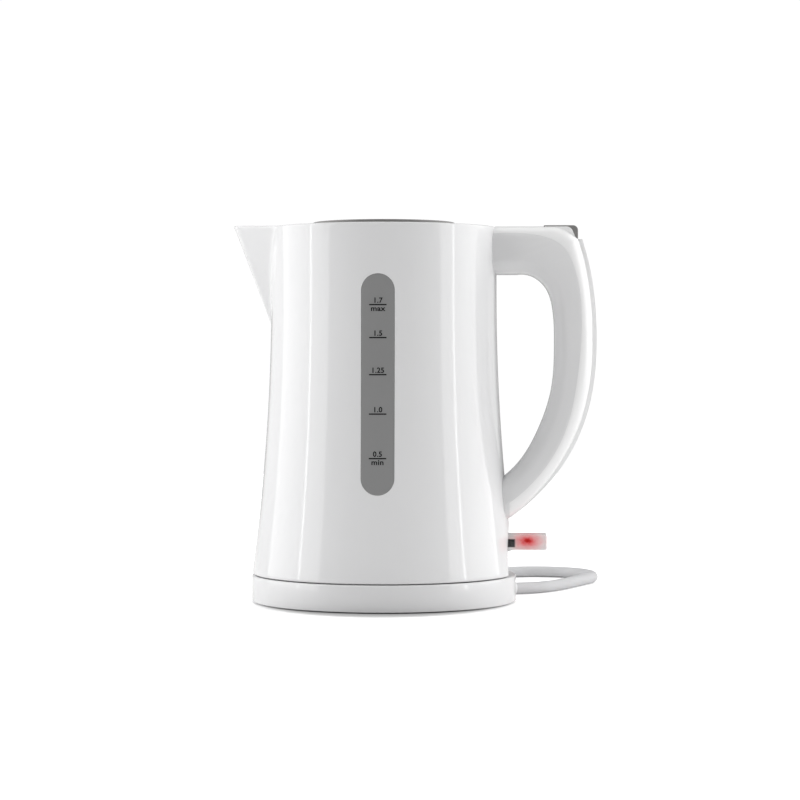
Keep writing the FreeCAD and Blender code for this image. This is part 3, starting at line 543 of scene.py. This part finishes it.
def make_tie():
    """Flat tie round the coil's turns."""
    count = 40
    points = []
    centre = Vector((COIL_CENTRE[0], COIL_CENTRE[1], 0)) + Vector(polar(COIL_R, 60, 11.2))
    outward, side = Vector(polar(1, 60)), Vector(polar(1, 150))
    for i in range(count):
        angle = 2 * math.pi * i / count
        c, s = math.cos(angle), math.sin(angle)
        reach_r = 4.1 * abs(c) ** 0.5 * (1 if c > 0 else -1)
        reach_z = 10.9 * abs(s) ** 0.5 * (1 if s > 0 else -1)
        for grow, across in ((0, -2.2), (0.5, -2.2), (0.5, 2.2), (0, 2.2)):
            up = Vector((0, 0, reach_z + 0.1 * grow * s))
            points.append(centre + outward * (reach_r + grow * c) + up + side * across)
    tie = mesh_object("cord_tie", points, grid_faces(count, 4))
    return piece(tie, "black_plastic", "base")


lead = make_lead()
plug_pieces = make_plug()
relief = make_relief()
tie = make_tie()


# ------------------------------------------------------------------ jug shell
JUG_BOTTOM = 16.4
RIM_Z = 219.2
NECK_R = 66.1
WAIST_Z = 182.6
FLARE_R = 1237.0
WALL = 2.8
SPOUT_WALL = 2.5
SPOUT_TOP_Z = 224.5         # level where the beak's upper section is given
SPOUT_ROOT_Z = 161.0
SPOUT_NOSE = (65.8, 90.03)  # the beak's nose at its root and at its top
SPOUT_HALF = (0.6, 28.45)   # half its width at the crease
SPOUT_NOSE_R = (0.5, 9.0)
CREASE_X = 60.6
LIP_SLOPE = (220.5 - RIM_Z) / (88.5 - CREASE_X)
SCOOP_X = 72.8
SCOOP_Z = 29.0
SCOOP_R = 110.0
WINDOW_HALF = 9.4
WINDOW_Z0 = 65.8
WINDOW_Z1 = 190.2


def wall_radius(z):
    drop = max(0.0, WAIST_Z - z)
    return NECK_R + FLARE_R - math.sqrt(FLARE_R ** 2 - drop ** 2)


def soft_max(a, b, blend):
    return (a + b + math.hypot(a - b, blend)) / 2


def beak_radius(angle, z, inset):
    """Distance from the axis to the beak's side at an angle from -X; 0 where it has none."""
    root_z = SPOUT_ROOT_Z + inset
    share = (z - root_z) / (SPOUT_TOP_Z - root_z)
    if abs(angle) > math.radians(62) or share < -0.35:
        return 0.0
    root_nose = SPOUT_NOSE[0] - 0.7 * inset
    nose_x = root_nose + (SPOUT_NOSE[1] - inset - root_nose) * share
    if share < 0:           # below its root the beak sinks into the wall
        return nose_x - 40 * abs(angle)
    half = SPOUT_HALF[0] + (SPOUT_HALF[1] - 1.15 * inset - SPOUT_HALF[0]) * share
    nose_r = SPOUT_NOSE_R[0] + (SPOUT_NOSE_R[1] - 0.8 * inset - SPOUT_NOSE_R[0]) * share
    middle = nose_x - nose_r
    reach = math.hypot(middle - CREASE_X, half)
    turn = math.atan2(half, middle - CREASE_X) + math.acos(min(1.0, nose_r / reach))
    touch = (middle - nose_r * math.cos(turn), nose_r * math.sin(turn))
    a = abs(angle)
    ray = (math.cos(a), math.sin(a))
    if a < math.atan2(touch[1], touch[0]):
        return middle * ray[0] + math.sqrt(max(0.0, nose_r ** 2 - (middle * ray[1]) ** 2))
    side = (touch[0] - CREASE_X, touch[1] - half)
    across = ray[0] * side[1] - ray[1] * side[0]
    if abs(across) < 1e-6:
        return 0.0
    return max(0.0, (CREASE_X * side[1] - half * side[0]) / across)


def jug_radius(angle, z, inset=0.0, spout_inset=0.0):
    """The jug's radius at an angle from +X and a height, with its beak and its hollow."""
    radius = wall_radius(z) - inset
    from_spout = math.remainder(angle - math.pi, 2 * math.pi)
    beak = beak_radius(from_spout, z, spout_inset)
    if beak:
        blend = 0.2 + 1.6 * min(1.0, max(0.0, (z - 150) / 45))
        radius = soft_max(radius, beak, blend)
    if math.cos(angle) > 0.5 and z < 70:
        drop = z - SCOOP_Z
        hollow = (SCOOP_X + SCOOP_R - math.sqrt((SCOOP_R + inset) ** 2 - drop ** 2)) / math.cos(angle)
        radius = -soft_max(-radius, -hollow, 0.35)
    return radius


def lip_height(angle):
    """Height of the rim, which climbs along the beak."""
    x = jug_radius(angle, RIM_Z) * -math.cos(angle)
    return RIM_Z + LIP_SLOPE * max(0.0, x - CREASE_X)


def jug_angles():
    """Angles round the axis, closer together round the beak."""
    angles = []
    angle = -math.pi
    while angle < math.pi - 1e-6:
        angles.append(angle)
        near_beak = abs(math.remainder(angle - math.pi, 2 * math.pi)) < math.radians(29.9)
        angle += math.radians(0.4 if near_beak else 1.0)
    return angles


def jug_column(angle):
    """Closed outline of the shell's section at one angle, as (radius, z)."""
    top = lip_height(angle)

    def at(z, inset=0.0, spout_inset=0.0):
        raised = z + (top - RIM_Z) * max(0.0, (z - 195) / (RIM_Z - 195)) ** 2
        return jug_radius(angle, raised, inset, spout_inset), raised

    column = []
    for k in range(5):
        turn = math.radians(22.5 * k)
        r, z = at(JUG_BOTTOM + 1.2 * (1 - math.sin(turn)))
        column.append((r - 1.2 * (1 - math.cos(turn)), z))
    column.reverse()
    column[0] = (column[0][0], JUG_BOTTOM)
    rows = 92
    start, end = JUG_BOTTOM + 1.2, RIM_Z - 0.9
    for k in range(1, rows):
        column.append(at(start + (end - start) * k / rows))
    edge, inner = at(RIM_Z)[0], at(RIM_Z, WALL, SPOUT_WALL)[0]
    for k in range(6):
        turn = math.radians(18 * k)
        column.append((edge - 0.9 * (1 - math.cos(turn)), top - 0.9 * (1 - math.sin(turn))))
    for k in range(4):
        turn = math.radians(30 * k)
        column.append((inner + 0.6 * (1 - math.sin(turn)), top - 0.6 * (1 - math.cos(turn))))
    rows = 40
    for k in range(1, rows + 1):
        column.append(at(RIM_Z - 0.6 - (RIM_Z - 0.6 - JUG_BOTTOM) * k / rows, WALL, SPOUT_WALL))
    return column


def window_slot(half, z0, z1, y0, y1):
    """A closed prism with round ends, from y0 to y1."""
    outline = []
    count = 28
    for k in range(count + 1):
        a = math.pi * k / count
        outline.append((half * math.cos(a), z1 - half + half * math.sin(a)))
    for k in range(count + 1):
        a = math.pi + math.pi * k / count
        outline.append((half * math.cos(a), z0 + half + half * math.sin(a)))
    n = len(outline)
    points = [(x, y0, z) for x, z in outline] + [(x, y1, z) for x, z in outline]
    faces = [tuple(range(n)), tuple(range(2 * n - 1, n - 1, -1))]
    faces += [(i, n + i, n + (i + 1) % n, (i + 1) % n) for i in range(n)]
    return mesh_object("window_slot", points, faces)


def rod_object(name, x0, x1, y, z, radius, count=24):
    outline = [(0.02, 0), (radius, 0), (radius, x1 - x0), (0.02, x1 - x0)]
    return lathe(name, outline, (x0, y, z), (1, 0, 0), count)


def make_jug():
    angles = jug_angles()
    points = []
    rows = 0
    for angle in angles:
        column = jug_column(angle)
        rows = len(column)
        points += [(r * math.cos(angle), r * math.sin(angle), z) for r, z in column]
    shell = mesh_object("jug_shell", points, grid_faces(len(angles), rows))
    cutters = [
        window_slot(WINDOW_HALF + 0.06, WINDOW_Z0 - 0.06, WINDOW_Z1 + 0.06, -90, -40),
        box_object("lever_way", 66.5, 90, -13.7, 13.7, 29.6, 41.2),
        box_object("rod_way", 55, 80, -7, 7, 209, 215),
        rod_object("screw_way", 55, 80, -9, 203, 1.8),
        rod_object("screw_way", 55, 80, 9, 203, 1.8),
    ]
    return for_node(cut_away(shell, cutters), "jug_body")


def window_rings():
    """(inset, depth) of the window's surface, from the middle of its face round to its back."""
    face = [(6.0, 0.0), (3.0, 0.0), (1.0, 0.0), (0.35, 0.01), (0.12, 0.09), (0.0, 0.25)]
    back = [(0.0, WALL + 0.06), (-2.6, WALL + 0.06), (-3.0, WALL + 0.4)]
    inside = [(-3.0, WALL + 1.6), (3.0, WALL + 1.6), (9.3, WALL + 1.6)]
    return [(9.3, 0.0)] + face + back + inside


def make_window():
    """Smoked strip with round ends, flush with the wall, with a softened edge."""
    cap = 24
    length = 40
    points = []
    rings = window_rings()
    low, high = WINDOW_Z0 + WINDOW_HALF, WINDOW_Z1 - WINDOW_HALF
    for inset, depth in rings:
        half = WINDOW_HALF - inset
        turns = [math.pi * k / cap for k in range(cap)]
        arc = [(half * math.cos(a), half * math.sin(a)) for a in turns]
        outline = [(half, low + (high - low) * k / length) for k in range(length)]
        outline += [(x, high + z) for x, z in arc]
        outline += [(-half, high - (high - low) * k / length) for k in range(length)]
        outline += [(-x, low - z) for x, z in arc]
        for x, z in outline:
            r = wall_radius(z) - depth
            angle = x / wall_radius(z)
            points.append((r * math.sin(angle), -r * math.cos(angle), z))
    n = len(points) // len(rings)
    faces = []
    for j in range(len(rings) - 1):
        for i in range(n):
            k = (i + 1) % n
            faces.append((j * n + i, j * n + k, (j + 1) * n + k, (j + 1) * n + i))
    for first in (0, len(points) - n):
        turn = first + length + cap
        for k in range(length):
            faces.append((first + k, first + k + 1, turn + length - k - 1, turn + length - k))
        faces.append(tuple(range(first + length, turn + 1)))
        faces.append(tuple([*range(turn + length, first + n), first]))
    return mesh_object("window_strip", points, faces, math.radians(40))


def on_wall(obj, raised):
    """Wraps a flat print, drawn as X across and Y up, round the jug's front."""
    for vertex in obj.data.vertices:
        x, z, height = vertex.co.x / MM, vertex.co.y / MM, vertex.co.z / MM
        r = wall_radius(z) + raised + height
        angle = x / wall_radius(z)
        vertex.co = Vector((r * math.sin(angle), -r * math.cos(angle), z)) * MM
    return obj


def printed_word(text, size, z, width=1.0):
    font = bpy.data.curves.new("word", "FONT")
    font.body = text
    font.size = size * MM
    font.align_x = "CENTER"
    font.extrude = 0.02 * MM
    font.offset = 0.09 * MM
    font.space_character = 1.06
    font.resolution_u = 6
    word = bpy.data.objects.new("word", font)
    scene.collection.objects.link(word)
    bpy.context.view_layer.update()
    mesh = bpy.data.meshes.new_from_object(word.evaluated_get(bpy.context.evaluated_depsgraph_get()))
    bpy.data.objects.remove(word)
    for vertex in mesh.vertices:
        vertex.co.x *= width
        vertex.co.y += z * MM
    return on_wall(shown("word", mesh), 0.07)


def printed_line(z, half, thickness):
    count = 16
    points = []
    for i in range(count + 1):
        x = half * (2 * i / count - 1)
        for y, height in ((-0.5, 0), (0.5, 0), (0.5, 0.04), (-0.5, 0.04)):
            points.append((x, z + y * thickness, height))
    faces = [(4 * i + k, 4 * i + (k + 1) % 4, 4 * i + 4 + (k + 1) % 4, 4 * i + 4 + k)
             for i in range(count) for k in range(4)]
    faces += [(0, 1, 2, 3), tuple(4 * count + k for k in (3, 2, 1, 0))]
    return on_wall(mesh_object("line", points, faces), 0.04)


# Height of each mark's line, its number, and the word under it.
WATER_MARKS = [
    (172.7, "1.7", "max"), (154.2, "1.5", ""), (133.4, "1.25", ""), (111.3, "1.0", ""),
    (86.4, "0.5", "min"),
]


def make_marks():
    marks = []
    for z, number, word in WATER_MARKS:
        marks.append(printed_line(z, 4.9, 0.72))
        marks.append(printed_word(number, 4.1, z + 1.1))
        if word:
            marks.append(printed_word(word, 4.1, z - 3.5, 1.12))
    return piece(merged("water_marks", marks), "black_plastic", "jug", material=INK)


# ------------------------------------------------------------------ other pieces made anew
def make_base_cover():
    outline = softened(
        [(77.5, 0.6, 0.6), (77.5, 16.0, 1.0), (73.5, 15.6, 2.0), (17.5, 15.5, 0.4), (17.5, 13.3, 0),
         (75.3, 13.3, 0.8), (75.3, 0.6, 0.3)]
    )
    cover = lathe("base_cover_fine", outline, count=288)
    start, end = Vector(polar(60, CORD_ANGLE, 4.6)), Vector(polar(90, CORD_ANGLE, 4.6))
    hole = lathe("hole", [(0.02, 0), (4.15, 0), (4.15, 30), (0.02, 30)], start, end - start, 48)
    return for_node(cut_away(cover, [hole]), "base_cover")


def make_lid_cover():
    outline = softened(
        [(0.02, 220.2, 0), (41.7, 220.2, 0.2), (41.7, 222.1, 0.5), (37.0, 222.1, 0.35),
         (36.5, 221.7, 0.35), (0.02, 221.7, 0)]
    )
    return for_node(lathe("lid_cover_fine", outline, count=224), "lid_cover")


def make_lid_seal():
    """Soft ring with two lips."""
    outline = softened(
        [(39.0, 208.6, 0), (41.1, 208.6, 0.2), (41.6, 208.9, 0.15), (41.6, 209.3, 0.15),
         (40.7, 209.8, 0.2), (40.7, 210.2, 0.2), (41.6, 210.7, 0.15), (41.6, 211.1, 0.15),
         (41.1, 211.4, 0.2), (39.0, 211.4, 0)], 3
    )
    return for_node(lathe("lid_seal_fine", outline, count=160), "lid_seal")


def wire(points_mm, radius, sides=6):
    """An open run of round wire through given points."""
    points, faces = [], []
    count = len(points_mm)
    for i, place in enumerate(points_mm):
        here = Vector(place)
        along = (Vector(points_mm[min(i + 1, count - 1)]) - Vector(points_mm[max(i - 1, 0)])).normalized()
        side = along.cross(Vector((1, 0, 0))).normalized()
        other = along.cross(side)
        for k in range(sides):
            a = 2 * math.pi * k / sides
            points.append(here + side * (radius * math.cos(a)) + other * (radius * math.sin(a)))
    for i in range(count - 1):
        for k in range(sides):
            n = (k + 1) % sides
            faces.append((i * sides + k, i * sides + n, (i + 1) * sides + n, (i + 1) * sides + k))
    faces += [tuple(range(sides)), tuple(range(len(points) - 1, len(points) - sides - 1, -1))]
    return points, faces


def make_filter_mesh():
    """Two panels of plain-woven wire."""
    x, pitch, sway, radius = -58.8, 0.82, 0.13, 0.12
    points, faces = [], []
    for y0 in (-16.5, 1.0):
        columns, rows = 18, 29
        for i in range(columns):
            y = y0 + 0.75 + pitch * i
            run = [(x + sway * math.cos(math.pi * (k + i)), y, 180 + pitch * k) for k in range(rows + 1)]
            fresh = wire(run, radius)
            faces += [tuple(v + len(points) for v in face) for face in fresh[1]]
            points += fresh[0]
        for k in range(rows):
            z = 180.4 + pitch * k
            run = [
                (x - sway * math.cos(math.pi * (k + i)), y0 + 0.4 + pitch * i, z)
                for i in range(columns + 1)
            ]
            fresh = wire(run, radius)
            faces += [tuple(v + len(points) for v in face) for face in fresh[1]]
            points += fresh[0]
    return for_node(mesh_object("filter_mesh_fine", points, faces, math.radians(80)), "filter_mesh")


def glow_material():
    """Painted red glow of the lamp's light, which fades along the clear lever away from its lamp."""
    material = bpy.data.materials.new("lamp_glow")
    material.use_nodes = True
    tree = material.node_tree
    shader = tree.nodes["Principled BSDF"]
    place = tree.nodes.new("ShaderNodeTexCoord").outputs["Object"]
    offset = vector_node(tree, "SUBTRACT", place, (0.0836, -0.0098, LAMP_Z * MM))
    length = vector_node(tree, "LENGTH", offset.outputs["Vector"])
    wavy = math_node(tree, "MULTIPLY_ADD", noise(tree, place, 420), 0.004, length.outputs["Value"])
    fade = colour_ramp(tree, step(tree, wavy, 0.0025, 0.0115), [
        (0.0, (0.62, 0.0, 0.0)), (0.22, (0.80, 0.04, 0.05)), (0.45, (0.90, 0.30, 0.32)),
        (0.75, (0.93, 0.6, 0.6)), (1.0, (0.93, 0.80, 0.80)),
    ])
    link(tree, fade, shader.inputs["Base Color"])
    link(tree, fade, shader.inputs["Emission Color"])
    shader.inputs["Emission Strength"].default_value = 0.2
    shader.inputs["Roughness"].default_value = 0.35
    return material


def make_lamp():
    """Lamp with a domed lens and two leads, and a block round it in the lever's hollow that glows with the
    lamp's red light painted on it.
    """
    outline = [(0.02, 0), (1.45, 0), (1.45, 0.5), (1.7, 0.6), (1.7, 2.9), (1.5, 3.6), (1.0, 4.15)]
    outline += [(0.5, 4.38), (0.02, 4.4)]
    bulb = lathe("lamp", outline, (80.2, 0, LAMP_Z), (1, 0, 0), 40)
    leads = [rod_object("lead", 77.6, 80.3, y, LAMP_Z, 0.35, 16) for y in (-0.9, 0.9)]
    lamp = for_node(merged("switch_lamp_fine", [bulb] + leads), "switch_lamp")
    # A block that glows though it is no lamp: painted light of the lamp inside the lever.
    block = box_object("lamp_glow", 78.2, 89.2, -9.85, 9.85, 33.05, 37.15)
    bevel = block.modifiers.new("soften", "BEVEL")
    bevel.width = 0.5 * MM
    bevel.segments = 3
    glow = applied(block)
    return [lamp, piece(glow, "red_lamp", "switch_lever", material=glow_material())]


def make_cheeks():
    """The handle's cheeks, one on each side of the button."""
    side = softened(
        [(94.0, 209.0, 0), (94.0, 219.2, 0.4), (109.4, 219.2, 4.2), (112.7, 210.8, 0.3), (111.0, 209.0, 0)]
    )
    count = len(side)
    cheeks = []
    for y0, y1 in ((-12.6, -11.2), (11.2, 12.6)):
        points = [(x, y, z) for y in (y0, y1) for x, z in side]
        faces = [(k, (k + 1) % count, count + (k + 1) % count, count + k) for k in range(count)]
        faces += [tuple(range(count)), tuple(range(2 * count - 1, count - 1, -1))]
        cheeks.append(mesh_object("cheek", points, faces))
    # The cheeks take the lighter white, which is painted light.
    return piece(merged("handle_cheeks", cheeks), "white_shell", "jug", material=COVER_WHITE_PAINTED_LIGHT)


make_jug()
make_cheeks()
for_node(make_window(), "water_window")
make_marks()
make_base_cover()
make_lid_cover()
make_lid_seal()
make_filter_mesh()
make_lamp()
SOFTENED_EDGES = {
    "handle_core": 0.35, "handle_cover": 0.9, "lid_button": 0.5, "switch_lever": 0.45,
    "lever_core": 0.3, "top_collar": 0.35, "lid_inner": 0.4, "filter_frame": 0.3,
    "heater_plate": 0.25, "plate_seal": 0.2, "connector_tower": 0.3, "control_housing": 0.35,
    "bottom_cover": 0.3, "base_plate": 0.3, "ring_foot": 0.3, "switch_frame": 0.3,
    "release_rod": 0.4, "trip_lever": 0.25, "steam_tube_seal": 0.25, "cord_clamp": 0.4,
    "heat_diffuser": 0.3, "base_screws": 0.2, "bottom_screws": 0.2, "handle_screws": 0.2,
    "clamp_screws": 0.2, "lid_hinge_pin": 0.3, "switch_pins": 0.2, "steam_tube": 0.2,
    "live_contact": 0.08, "neutral_contact": 0.08, "earth_contact": 0.08, "fixed_contact": 0.2,
}
# The handle's cover takes the lighter white, which is painted light.
OWN_MATERIAL = {"handle_cover": COVER_WHITE_PAINTED_LIGHT}
for soft_node, edge_width in SOFTENED_EDGES.items():
    refined(soft_node, edge_width, OWN_MATERIAL.get(soft_node))


# ------------------------------------------------------------------ light and floor
def aimed(obj, target):
    obj.rotation_euler = (Vector(target) - obj.location).to_track_quat("-Z", "Y").to_euler()


def area_light(name, place, target, width, height, radiance):
    """A soft box of a given brightness that the camera doesn't see."""
    light = bpy.data.lights.new(name, "AREA")
    light.shape = "RECTANGLE"
    light.size = width
    light.size_y = height
    light.energy = radiance * math.pi * width * height
    box = bpy.data.objects.new(name, light)
    scene.collection.objects.link(box)
    box.location = place
    aimed(box, target)
    box.visible_camera = False


def make_world(lighting):
    """Plain studio: white where the camera looks, softer as a light."""
    world = bpy.data.worlds.new("studio")
    scene.world = world
    world.use_nodes = True
    tree = world.node_tree
    seen = tree.nodes.new("ShaderNodeLightPath").outputs["Is Camera Ray"]
    level = tree.nodes.new("ShaderNodeMapRange")
    level.inputs["To Min"].default_value = lighting
    level.inputs["To Max"].default_value = 1.02
    link(tree, seen, level.inputs["Value"])
    link(tree, level.outputs["Result"], tree.nodes["Background"].inputs["Strength"])
    tree.nodes["Background"].inputs["Color"].default_value = (1, 1, 1, 1)


def make_floor():
    """Pale floor with a painted contact shadow, darker near the base, that the camera sees fade to white
    away from it.
    """
    half = 1.6
    mesh = bpy.data.meshes.new("floor")
    corners = [(-half, -half, 0), (half, -half, 0), (half, half, 0), (-half, half, 0)]
    mesh.from_pydata(corners, [], [(0, 1, 2, 3)])
    floor = bpy.data.objects.new("floor", mesh)
    scene.collection.objects.link(floor)
    material = bpy.data.materials.new("pale_floor")
    material.use_nodes = True
    tree = material.node_tree
    shader = tree.nodes["Principled BSDF"]
    shader.inputs["Roughness"].default_value = 0.9
    shader.inputs["Specular IOR Level"].default_value = 0.1
    shader.inputs["Emission Color"].default_value = (1, 1, 1, 1)
    place = tree.nodes.new("ShaderNodeTexCoord").outputs["Object"]
    # Painted contact shadow: base colour grey near the base, pale clear of it, on a ring squeezed along X
    # so it is narrower at the sides.
    squeezed = vector_node(tree, "MULTIPLY", place, (1.3, 1, 1))
    distance = vector_node(tree, "LENGTH", squeezed.outputs["Vector"]).outputs["Value"]
    near, clear_of_base = 0.084, 0.108
    painted_shadow = tinted(tree, step(tree, distance, near, clear_of_base), (0.5, 0.5, 0.5), (0.9, 0.9, 0.9))
    link(tree, painted_shadow, shader.inputs["Base Color"])
    levels = [(near, 0), (clear_of_base, 0.4), (0.4, 0.45), (1.0, 0.9)]
    fade = colour_ramp(tree, distance, [(place_at, (level,) * 3) for place_at, level in levels])
    seen = tree.nodes.new("ShaderNodeLightPath").outputs["Is Camera Ray"]
    link(tree, math_node(tree, "MULTIPLY", fade, seen), shader.inputs["Emission Strength"])
    mesh.materials.append(material)


scene.view_settings.view_transform = "Standard"
make_world(0.385)
make_floor()
MIDDLE = (0, 0, 0.12)
area_light("left_box", (-1.1, -0.10, 0.6), (0, -0.04, 0.35), 1.5, 1.6, 1.75)
area_light("right_box", (1.1, 0.04, 0.6), (0, 0.04, 0.35), 1.4, 1.6, 1.8)
area_light("left_strip", (-1.05, -0.30, 0.35), MIDDLE, 0.03, 1.0, 6.0)
area_light("right_strip", (1.05, -0.27, 0.35), MIDDLE, 0.03, 1.0, 6.0)
area_light("left_back", (-0.95, 0.95, 0.5), MIDDLE, 0.9, 1.2, 0.4)
area_light("right_back", (0.95, 0.95, 0.5), MIDDLE, 0.9, 1.2, 0.5)
area_light("top_box", (0, 0.2, 1.5), (0, 0, 0), 1.2, 1.2, 0.7)


# ------------------------------------------------------------------ what the CAD gives as it is
for node, obj in frame["nodes"].items():
    if not obj.hide_render:
        obj.data.materials.clear()
        obj.data.materials.append(MATERIALS[SLOT_OF[node]])
